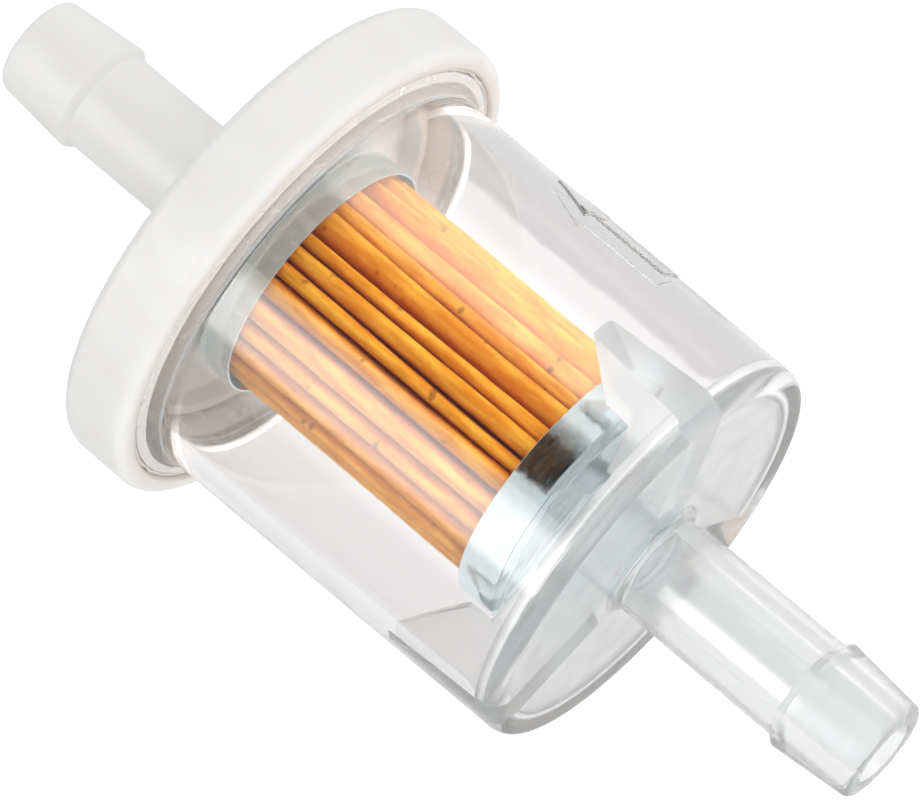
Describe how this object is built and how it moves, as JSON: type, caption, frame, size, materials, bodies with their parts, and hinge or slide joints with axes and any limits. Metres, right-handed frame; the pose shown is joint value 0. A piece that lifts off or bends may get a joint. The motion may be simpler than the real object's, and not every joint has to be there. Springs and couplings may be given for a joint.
{
  "type": "inline fuel filter",
  "caption": "Inline fuel filter: clear bowl with hose barb and flow arrow, white cap with hose barb, pleated paper element between zinc-plated end caps.",
  "frame": {"origin": "on the filter's axis, halfway between the mouths of the two hose barbs", "axes": "+X along the axis towards the inlet, the mouth of the clear bowl's barb; +Z through the middle of the raised flow arrow; fuel flows towards -X"},
  "size_m": [0.071, 0.0348, 0.0348],
  "materials": {
    "clear_bowl": "clear moulded nylon, polished, faint grey tint",
    "white_cap": "natural white nylon, satin, slightly translucent",
    "zinc_plate": "thin pressed steel, bright blue zinc plating",
    "tube_steel": "plain tinned steel, perforated",
    "filter_paper": "resin-treated amber filter paper, pleated",
    "potting": "cured amber plastisol",
    "grommet_rubber": "black nitrile rubber, matte"
  },
  "bodies": {
    "root": {"inlet_bowl": "clear_bowl", "outlet_cap": "white_cap", "inlet_end_cap": "zinc_plate", "outlet_end_cap": "zinc_plate", "pleated_paper": "filter_paper", "pleat_seam_clip": "zinc_plate", "centre_tube": "tube_steel", "inlet_potting": "potting", "outlet_potting": "potting", "outlet_grommet": "grommet_rubber"}
  },
  "joints": []
}
